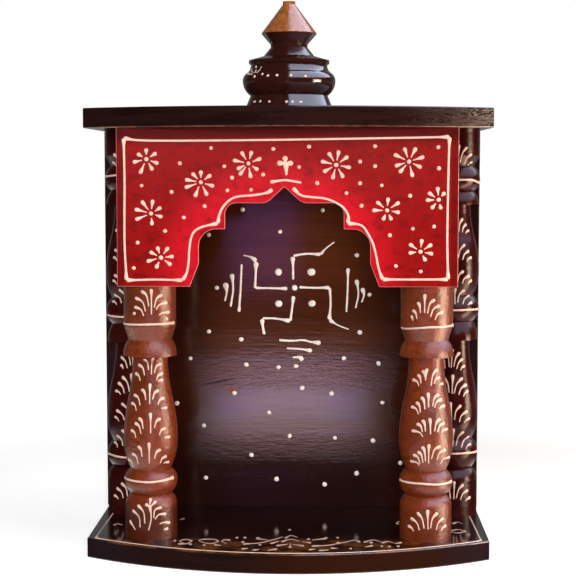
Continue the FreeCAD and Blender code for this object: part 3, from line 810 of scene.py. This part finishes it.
def plain_lacquer(name, colour, share, stretch, streaks, clouds, gloss, depth, specular=0.5):
    """A material of brushed lacquer in one colour and a darker share of it."""
    material, tree, shader = start_material(name, specular)
    made, rough, height = brushed(tree, stretch, colour, darker(colour, share), streaks, clouds, gloss)
    coat(tree, shader, made, rough, height, depth)
    return material


def board_material(name, depth, arris_height, grain_from=None, specular=0.5):
    """Near-black lacquer of a board, lighter brown in patches along one arris.

    It has open grain from one place to the right, or else a brown zone on its front and violet ends that are
    a painted reflection.
    """
    board = settings()[0].board
    material, tree, shader = start_material(name, specular)
    colour, rough, height = brushed(tree, (14, 14, 160), board, darker(board, 0.35), 0.8, 0.7, 0.08)
    along, away, up = split(tree, mapped(tree))
    front = ramp(tree, away, -0.035, -0.045)
    near_edge = calc(tree, "ABSOLUTE", calc(tree, "SUBTRACT", up, arris_height))
    patchy = ramp(tree, noise(tree, mapped(tree, (60, 60, 60))), 0.42, 0.62)
    # Lighter brown in patches in a narrow band along the front arris
    arris_brown = times(tree, ramp(tree, near_edge, 0.0, 1.6 * MM, 1.0, 0.0), patchy, front)
    if grain_from is None:
        brown = times(tree, between(tree, along, 0.02, 0.10, 0.07), front, 0.8)
        # Violet at both ends of the front: a painted reflection
        violet = times(tree, ramp(tree, calc(tree, "ABSOLUTE", along), 0.09, 0.15), front, 0.6)
        colour = coats(tree, colour, (brown, (0.030, 0.0075, 0.0016)), (violet, (0.020, 0.011, 0.018)))
    colour = mix(tree, arris_brown, colour, (0.16, 0.055, 0.018))
    if grain_from is not None:
        pores = noise(tree, mapped(tree, (480, 480, 1500)), 1.0, 5.0, 0.75)
        zone = ramp(tree, along, grain_from, grain_from + 0.07)
        grain = times(tree, ramp(tree, pores, 0.50, 0.66), zone, front)
        colour = mix(tree, grain, colour, (0.036, 0.013, 0.006))
        height = calc(tree, "MULTIPLY_ADD", grain, 0.2, height)
        rough = calc(tree, "MULTIPLY_ADD", grain, 0.12, rough)
    coat(tree, shader, colour, rough, height, depth)
    return material


def ellipse(tree, centre, turn, half_long, half_wide):
    """1 inside x'^2/a^2 + z'^2/b^2 < 1 on the panel's front, x' and z' being turned about a centre."""
    source = new_node(tree, "ShaderNodeTexCoord").outputs["Object"]
    place = (centre[0] * MM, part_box("back_panel")[0].y, centre[1] * MM)
    made = new_node(tree, "ShaderNodeMapping", vector_type="TEXTURE", vector=source, location=place,
                    rotation=(0, -math.radians(turn), 0), scale=(half_long * MM, 3 * MM, half_wide * MM))
    return ramp(tree, length(tree, made.outputs["Vector"]), 1.05, 0.7)


def panel_material():
    """Back panel: brown lacquer, darker low down, with painted shade at its sides and level brush marks that
    ripple its reflections.
    """
    panel = settings()[0].panel
    material, tree, shader = start_material("panel_lacquer", 0.55)
    colour, rough, brush = brushed(tree, (12, 60, 150), panel, darker(panel, 0.25), 0.35, 0.45, 0.07)
    along, _, up = split(tree, mapped(tree))
    across = calc(tree, "ABSOLUTE", calc(tree, "ADD", along, 2 * MM))
    nicks = new_node(tree, "ShaderNodeGroup", node_tree=shared("Specks", specks_group),
                     vector=mapped(tree, (0.6, 1, 1.6)), scale=150.0, amount=0.07)
    scratch = ellipse(tree, PANEL_SCRATCH, 11.6, 19.0, 1.1)
    chip = ellipse(tree, PANEL_CHIP, -8.0, 5.2, 2.0)
    colour = coats(
        tree, colour,
        (ramp(tree, up, 0.085, 0.045, 0.0, 0.93), (0.011, 0.0032, 0.0042)),
        # Painted shade: darker towards both sides, darkest and a little violet at the outer edges behind the
        # rear pillars
        (ramp(tree, across, 0.050, 0.092, 0.0, 0.75), (0.022, 0.0055, 0.0032)),
        (ramp(tree, across, 0.108, 0.118, 0.0, 0.85), (0.014, 0.0045, 0.0060)),
        (nicks.outputs["Mask"], (0.004, 0.002, 0.003)),
        (scratch, (0.018, 0.006, 0.004)),
        (chip, (0.22, 0.045, 0.025)),
    )
    dull = times(tree, calc(tree, "MAXIMUM", scratch, chip), 0.5)
    rippled = calc(tree, "MAXIMUM", between(tree, up, 0.118, 0.138, 0.014),
                   between(tree, up, 0.055, 0.070, 0.012))
    ripple = times(tree, noise(tree, mapped(tree, (110, 60, 520)), 1.0, 4.0, 0.65),
                   calc(tree, "MULTIPLY_ADD", rippled, 0.75, 0.15))
    coat(tree, shader, colour, calc(tree, "MAXIMUM", dull, rough),
         calc(tree, "MULTIPLY_ADD", brush, 0.35, ripple), 0.00012)
    return material


def red_material():
    """Valance: bright red paint, deeper at the sides, blotched, darker at the top as painted shadow of the
    roof over darker paint, pink on its arrises as partly worn paint and partly painted highlight.
    """
    colours = settings()[0]
    material, tree, shader = start_material("red_paint", 0.18)
    colour, rough, height = brushed(tree, (70, 70, 22), colours.red, colours.red_mid, 0.30, 0.35, 0.15)
    along, _, up = split(tree, mapped(tree))
    oval = mapped(tree, (1 / RED_OVAL[0], 0, 1 / RED_OVAL[1]),
                  (-RED_MIDDLE[0] / RED_OVAL[0], 0, -RED_MIDDLE[1] / RED_OVAL[1]))
    mottle = noise(tree, mapped(tree, (95, 95, 120)), 1.0, 6.0, 0.7)
    stain = noise(tree, mapped(tree, (34, 34, 34)), 1.0, 2.0)
    facing = new_node(tree, "ShaderNodeTexCoord").outputs["Normal"]
    turned = calc(tree, "ABSOLUTE", split(tree, facing)[1])
    colour = coats(
        tree, colour,
        # Duller red outside the oval: partly paint, partly painted shade of the light falling off
        (ramp(tree, length(tree, oval), 0.95, 1.35), colours.red_mid),
        (ramp(tree, calc(tree, "ABSOLUTE", along), 0.1195, 0.1215, 0.0, 0.5), colours.red_deep_and_roof_shadow),
        # Painted shadow of the roof along the valance's top, over darker paint there
        (ramp(tree, up, 0.309, 0.321, 0.0, 0.85), colours.red_deep_and_roof_shadow),
        (ramp(tree, mottle, 0.47, 0.72, 0.0, 0.55), colours.red_deep_and_roof_shadow),
        (ramp(tree, stain, 0.66, 0.74, 0.0, 0.6), (0.07, 0.012, 0.012)),
        # Pink where the normal turns from the front, on the rounded arrises: partly worn paint, partly a
        # painted highlight
        (times(tree, ramp(tree, turned, 0.25, 0.5), ramp(tree, turned, 0.97, 0.85)), (0.85, 0.30, 0.27)),
    )
    coat(tree, shader, colour, rough, height, 0.00007)
    return material


def spire_material():
    """Spire: golden copper on the cone above its arris, as dark as the pot below."""
    colours = settings()[0]
    material, tree, shader = start_material("spire_lacquer")
    deep = darker(colours.spire, 0.35)
    colour, rough, height = brushed(tree, (320, 320, 260), colours.spire, deep, 0.75, 0.6, 0.08)
    cone = ramp(tree, split(tree, mapped(tree))[2], SPIRE_ARRIS - 0.5 * MM, SPIRE_ARRIS)
    coat(tree, shader, mix(tree, cone, colours.pot, colour), rough, height, 0.0002)
    return material


def copper_material():
    """Front pillars: copper brown lacquer, with painted shade at the feet, most of all on the left one's."""
    copper = settings()[0].copper
    material, tree, shader = start_material("front_pillar_lacquer", 0.36)
    colour, rough, height = brushed(tree, (210, 210, 260), copper, darker(copper, 0.45), 0.7, 0.7, 0.13)
    along, _, up = split(tree, mapped(tree))
    # Painted shade at the feet, darkest on the left pillar
    foot = times(tree, ramp(tree, up, 0.046, 0.034), ramp(tree, along, 0.02, -0.02, 0.25, 0.85))
    coat(tree, shader, mix(tree, foot, colour, (0.050, 0.009, 0.003)), rough, height, 0.00070)
    return material


def cone_paste(name):
    """The material of one of the pastes."""
    return shared(name, lambda: paste_material(name, *PASTES[name]))


def paste_material(name, cream, wear):
    """Cone painting: paste, a little uneven, pinkish where it is thin, taken by wear towards muted brown."""
    cream = tuple(getattr(settings()[0], cream))
    material, tree, shader = start_material(name, 0.4)
    thin = tuple(c * f for c, f in zip(cream, (0.97, 0.86, 0.84)))
    uneven = ramp(tree, noise(tree, mapped(tree, (260, 260, 260))), 0.35, 0.7)
    colour = coats(tree, cream, (uneven, thin), (wear, (0.16, 0.11, 0.085)))
    shader.inputs["Roughness"].default_value = 0.35
    coat(tree, shader, colour, None, noise(tree, mapped(tree, (1500, 1500, 1500))), 0.00005)
    return material


def dress(node, material):
    """Gives a node of the model one material in all its slots."""
    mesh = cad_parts[node].data
    if not mesh.materials:
        mesh.materials.append(material)
    for k in range(len(mesh.materials)):
        mesh.materials[k] = material


class MANDIR_OT_boards(bpy.types.Operator):
    """Lacquer the base and the roof and paint the base's border"""

    bl_idname = "mandir.boards"
    bl_label = "Boards"

    def execute(self, context):
        low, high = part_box("base_board")
        roof_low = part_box("roof_board")[0].z
        dress("base_board", board_material("base_lacquer", 0.00006, high.z))
        dress("roof_board", board_material("roof_lacquer", 0.00012, roof_low, grain_from=0.03, specular=0.27))
        top = FlatFace(2, high.z, 1)
        border = Painter(top, 5)
        lay_base_border(border, low, high)
        border.finish("base_border")
        scrolls = Painter(top, 6)
        line = scrolls.sizes.line
        for route in BASE_STROKES:
            scrolls.lay(scrolls.route(route), 1.5 * line, 0.6 * line, 0.75 * line)
        scrolls.dots(BASE_DOTS, 1.2 * MM)
        scrolls.finish("base_scrolls", "worn_cone_paste")
        return {"FINISHED"}


def bow_corner():
    """Y where the base's straight sides meet its bowed front: the foremost of its outermost points."""
    points = np.array([v.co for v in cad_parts["base_board"].data.vertices], float)
    outermost = points[:, 0] > points[:, 0].max() - 1e-5
    return points[outermost, 1].min()


def bow_front(low, high, inset):
    """Front edge of the base moved in by an inset, as (middle, radius): chord and rise give the radius."""
    half = (high.x - low.x) / 2
    rise = bow_corner() - low.y
    radius = (half**2 + rise**2) / (2 * rise)
    return np.array([(low.x + high.x) / 2, low.y + radius]), radius - inset


def lay_base_border(painter, low, high):
    """The thin line along the bowed front and back along both sides, inside the arris."""
    middle, radius = bow_front(low, high, BASE_LINE_INSET_MM * MM)
    side = high.x - 2 * BASE_LINE_INSET_MM * MM
    reach = math.asin((side - middle[0]) / radius)
    turn = np.linspace(-reach, reach, 160)
    front = middle + radius * np.stack([np.sin(turn), -np.cos(turn)], -1)
    line = 0.75 * painter.sizes.line
    painter.lay(front, 1.6 * line, 1.6 * line, line, swell=0.08 * line)
    for hand in (-1, 1):
        start = front[0 if hand < 0 else -1]
        end = np.array([middle[0] + hand * (side - 1.5 * MM), 0.045])
        route = start + np.linspace(0, 1, 40)[:, None] * (end - start)
        painter.lay(route, 1.6 * line, 1.3 * line, line, swell=0.08 * line)


class MANDIR_OT_panel(bpy.types.Operator):
    """Lacquer the back panel and paint its swastik, strokes and dots"""

    bl_idname = "mandir.panel"
    bl_label = "Back panel"

    def execute(self, context):
        dress("back_panel", panel_material())
        face = FlatFace(1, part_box("back_panel")[0].y, -1)
        swastik = Painter(face, 11)
        swastik.drawn(SWASTIK_ARMS)
        swastik.dots(SWASTIK_DOTS, 3.1 * MM)
        swastik.dots([SWASTIK_HUB], 2.1 * MM)
        swastik.finish("panel_swastik", "pale_cone_paste")
        strokes = Painter(face, 12)
        strokes.drawn(PANEL_STROKES)
        strokes.dots(PANEL_DOTS, 1.8 * MM)
        strokes.finish("panel_strokes_and_dots", "pale_cone_paste")
        return {"FINISHED"}


class MANDIR_OT_valance(bpy.types.Operator):
    """Paint the arched valance red, with its border, flowers and dots"""

    bl_idname = "mandir.valance"
    bl_label = "Valance"

    def execute(self, context):
        dress("valance", red_material())
        face = FlatFace(1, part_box("valance")[0].y, -1)
        border = Painter(face, 21)
        border.lines(BORDER_SIDES, 1.9, 1.9)
        border.lines(ARCH_LINES, 1.7, 1.9)
        border.lines([CROWN_BAR], 1.6, 1.0)
        border.petals(CROWN_CROSS, 2.0 * MM, 0.8 * MM)
        border.finish("valance_border")
        flowers = Painter(face, 22)
        for centre, petals in FLOWERS:
            flowers.flower(centre, petals)
        flowers.finish("valance_flowers")
        dots = Painter(face, 23)
        dots.dots(VALANCE_DOTS)
        dots.finish("valance_dots")
        return {"FINISHED"}


def lay_rings(node, face):
    """The rings of one pillar, as a piece of their own."""
    painter = Painter(face)
    for pixels, start, end in RINGS[node]:
        painter.ring(pixels, start, end)
    painter.finish(node + "_rings")


class MANDIR_OT_front_pillars(bpy.types.Operator):
    """Lacquer the front pillars copper brown and paint their fans and rings"""

    bl_idname = "mandir.front_pillars"
    bl_label = "Front pillars"

    def execute(self, context):
        copper = copper_material()
        for hand, petals in (("left", LEFT_PETALS), ("right", RIGHT_PETALS)):
            node = "front_pillar_" + hand
            dress(node, copper)
            painter = Painter(TurnedFace(node), 31 if hand == "left" else 32)
            painter.hooks(petals)
            if hand == "left":
                painter.petals(LEFT_FOOT_STROKES, 1.2 * MM, 0.42 * MM)
                painter.dots(LEFT_DOTS, 1.2 * MM)
            else:
                painter.fans([RIGHT_FOOT_FAN])
            painter.finish(node + "_fans")
            lay_rings(node, painter.face)
        return {"FINISHED"}


class MANDIR_OT_rear_pillars(bpy.types.Operator):
    """Lacquer the rear pillars dark red brown and paint their fans and rings"""

    bl_idname = "mandir.rear_pillars"
    bl_label = "Rear pillars"

    def execute(self, context):
        maroon = plain_lacquer("rear_pillar_lacquer", settings()[0].maroon, 0.35, (110, 110, 190), 0.45, 0.6,
                               0.13, 0.00035, 0.12)
        seen = TurnedFace("rear_pillar_right")
        for hand, side, seed in (("left", -1, 41), ("right", 1, 42)):
            node = "rear_pillar_" + hand
            dress(node, maroon)
            painter = Painter(TurnedFace(node), seed)
            painter.fans(REAR_FANS, seen, side)
            painter.finish(node + "_fans")
            lay_rings(node, painter.face)
        return {"FINISHED"}


class MANDIR_OT_finial(bpy.types.Operator):
    """Lacquer the finial's pot and spire and paint its drops"""

    bl_idname = "mandir.finial"
    bl_label = "Finial"

    def execute(self, context):
        pot = settings()[0].pot
        dress("finial_pot", plain_lacquer("pot_lacquer", pot, 0.3, (160, 160, 220), 0.4, 0.6, 0.06, 0.00012))
        dress("finial_spire", spire_material())
        painter = Painter(TurnedFace("finial_pot"), 51)
        painter.dots(POT_DOTS, 0.95 * MM)
        painter.petals(POT_STROKES, 1.15 * MM, 0.4 * MM)
        painter.petals(POT_FOOT_STROKES, 1.0 * MM, 0.5 * MM)
        painter.finish("finial_painting")
        return {"FINISHED"}


def soft_lamp(name, place, aim, size, power, colour=(1, 1, 1), mirrored=False):
    """A rectangular area lamp at a place, turned to a point, unseen by the camera and perhaps by gloss."""
    lamp = bpy.data.lights.new(name, "AREA")
    lamp.shape = "RECTANGLE"
    lamp.size, lamp.size_y = size
    lamp.energy = power
    lamp.color = colour
    holder = bpy.data.objects.new(name, lamp)
    bpy.context.scene.collection.objects.link(holder)
    holder.location = place
    holder.rotation_euler = (Vector(aim) - Vector(place)).to_track_quat("-Z", "Y").to_euler()
    holder.visible_camera = False
    holder.visible_glossy = mirrored


def studio_world(room, window):
    """White to the camera. Gloss sees pale grey behind, a dim room in front and a window at upper right."""
    world = bpy.data.worlds.new("studio")
    bpy.context.scene.world = world
    world.use_nodes = True
    tree = world.node_tree
    sky = tree.nodes["Background"]
    right, back, up = split(tree, new_node(tree, "ShaderNodeTexCoord").outputs["Generated"])
    path = new_node(tree, "ShaderNodeLightPath").outputs
    pane = times(tree, path["Is Glossy Ray"], ramp(tree, right, 0.0, 0.04), ramp(tree, up, 0.28, 0.33),
                 ramp(tree, back, 0.68, 0.60))
    level = calc(tree, "MULTIPLY_ADD", pane, window, ramp(tree, back, 0.45, 0.9, room, 0.22))
    level = calc(tree, "MAXIMUM", level, path["Is Camera Ray"])
    level = calc(tree, "MAXIMUM", level, path["Is Transmission Ray"])
    feed(tree, sky.inputs["Strength"], level)
    feed(tree, sky.inputs["Color"], mix(tree, pane, (1, 1, 1), (0.66, 0.76, 1.0)))


def floor_material(table):
    """Matt floor with the shrine's shadow: pale to the camera, white far away and grey to the light.

    Gloss sees it pale behind the shrine, with a lavender table in front and a warm strip at the right,
    and pinkish where a mirrored ray comes down steeply.
    """
    material, tree, shader = start_material("floor_white", specular=0.0)
    shader.inputs["Roughness"].default_value = 0.9
    path = new_node(tree, "ShaderNodeLightPath").outputs
    glossy = path["Is Glossy Ray"]
    along, away, _ = split(tree, mapped(tree))
    far = ramp(tree, length(tree, mapped(tree)), 0.30, 0.75)
    behind = times(tree, glossy, ramp(tree, away, 0.1, 0.4, 0.0, 0.2))
    shown = calc(tree, "MAXIMUM", path["Is Camera Ray"], behind)
    shown = calc(tree, "MAXIMUM", shown, path["Is Transmission Ray"])
    pale = mix(tree, far, (0.86, 0.86, 0.87), (0.0, 0.0, 0.0))
    coat(tree, shader, mix(tree, shown, (0.06, 0.06, 0.06), pale))

    across = calc(tree, "ABSOLUTE", calc(tree, "SUBTRACT", along, TABLE_MIDDLE))
    on_table = times(tree, glossy, ramp(tree, across, TABLE_HALF, 0.5 * TABLE_HALF),
                     ramp(tree, away, *TABLE_NEAR), ramp(tree, away, *TABLE_FAR))
    facing = new_node(tree, "ShaderNodeLayerWeight").outputs["Facing"]
    steep = times(tree, glossy, ramp(tree, facing, 0.72, 0.45))
    slant = calc(tree, "DIVIDE", away, calc(tree, "MAXIMUM", along, 0.01))
    aside = times(tree, glossy, between(tree, slant, -0.38, -0.12, 0.12), ramp(tree, along, 0.2, 0.3))
    glow = times(tree, shown, ramp(tree, far, 0.0, 1.0, 0.62, 1.0))
    for mask, level in ((steep, 2.7), (aside, 22.0), (on_table, table)):
        glow = calc(tree, "MULTIPLY_ADD", mask, level, glow)
    lavender = mix(tree, ramp(tree, across, 0.035, 0.105), (0.86, 0.68, 1.0), (0.22, 0.24, 0.90))
    tint = coats(tree, (1.0, 1.0, 1.0), (on_table, lavender), (steep, (1.0, 0.80, 0.76)),
                 (aside, (1.0, 0.70, 0.48)))
    feed(tree, shader.inputs["Emission Color"], tint)
    feed(tree, shader.inputs["Emission Strength"], glow)
    return material


class MANDIR_OT_stage(bpy.types.Operator):
    """Set up the pale floor, the soft studio light and the camera"""

    bl_idname = "mandir.stage"
    bl_label = "Stage"

    def execute(self, context):
        studio = settings()[2]
        scene = context.scene
        scene.view_settings.view_transform = "Standard"
        studio_world(studio.room, studio.window)

        mesh = bpy.data.meshes.new("floor")
        corners = np.array([(-1, -1), (1, -1), (1, 1), (-1, 1)]) * FLOOR_REACH
        mesh.from_pydata(np.pad(corners, ((0, 0), (0, 1))).tolist(), [], [(0, 1, 2, 3)])
        floor = bpy.data.objects.new("floor", mesh)
        scene.collection.objects.link(floor)
        mesh.materials.append(floor_material(studio.table))

        middle = (0, 0, 0.2)
        soft_lamp("front_lamp", (-0.15, -1.30, 0.42), middle, (0.8, 0.3), studio.front)
        soft_lamp("left_lamp", (-0.75, -1.0, 1.15), middle, (0.7, 0.7), studio.left)
        soft_lamp("right_lamp", (1.05, -0.32, 0.16), middle, (0.34, 0.30), studio.right,
                  (1.0, 0.74, 0.56), True)
        soft_lamp("above_lamp", (0.42, -0.25, 1.30), (0, 0, 0.35), (0.7, 0.8), studio.above)
        soft_lamp("violet_lamp", (-0.08, -1.16, 0.17), (-0.08, 0, 0.2), (0.11, 0.15), studio.violet,
                  (0.5, 0.25, 1.0), True)

        camera = bpy.data.objects.new("camera", bpy.data.cameras.new("camera"))
        scene.collection.objects.link(camera)
        camera.data.lens = LENS_MM
        camera.data.sensor_width = SENSOR_MM
        camera.location = CAMERA_PLACE
        camera.rotation_euler = (CAMERA_TILT, 0, CAMERA_TURN)
        scene.camera = camera
        return {"FINISHED"}


OPERATORS = (
    MANDIR_OT_stage, MANDIR_OT_boards, MANDIR_OT_panel, MANDIR_OT_valance, MANDIR_OT_front_pillars,
    MANDIR_OT_rear_pillars, MANDIR_OT_finial,
)


class MANDIR_PT_pieces(bpy.types.Panel):
    """Lists the pieces of the shrine"""

    bl_label = "Pooja mandir"
    bl_idname = "MANDIR_PT_pieces"
    bl_space_type = "VIEW_3D"
    bl_region_type = "UI"
    bl_category = "Mandir"

    def draw(self, context):
        for operator in OPERATORS:
            self.layout.operator(operator.bl_idname)
        for group in (context.scene.mandir_colours, context.scene.mandir_sizes, context.scene.mandir_studio):
            column = self.layout.column()
            for name in group.__annotations__:
                column.prop(group, name)


CLASSES = (MandirColours, MandirSizes, MandirStudio, *OPERATORS, MANDIR_PT_pieces)


def register():
    for kind in CLASSES:
        bpy.utils.register_class(kind)
    bpy.types.Scene.mandir_colours = PointerProperty(type=MandirColours)
    bpy.types.Scene.mandir_sizes = PointerProperty(type=MandirSizes)
    bpy.types.Scene.mandir_studio = PointerProperty(type=MandirStudio)


def unregister():
    del bpy.types.Scene.mandir_colours
    del bpy.types.Scene.mandir_sizes
    del bpy.types.Scene.mandir_studio
    for kind in reversed(CLASSES):
        bpy.utils.unregister_class(kind)


def main():
    """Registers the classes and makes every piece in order."""
    register()
    for operator in OPERATORS:
        getattr(bpy.ops.mandir, operator.bl_idname.split(".")[1])()


if __name__ == "__main__":
    main()
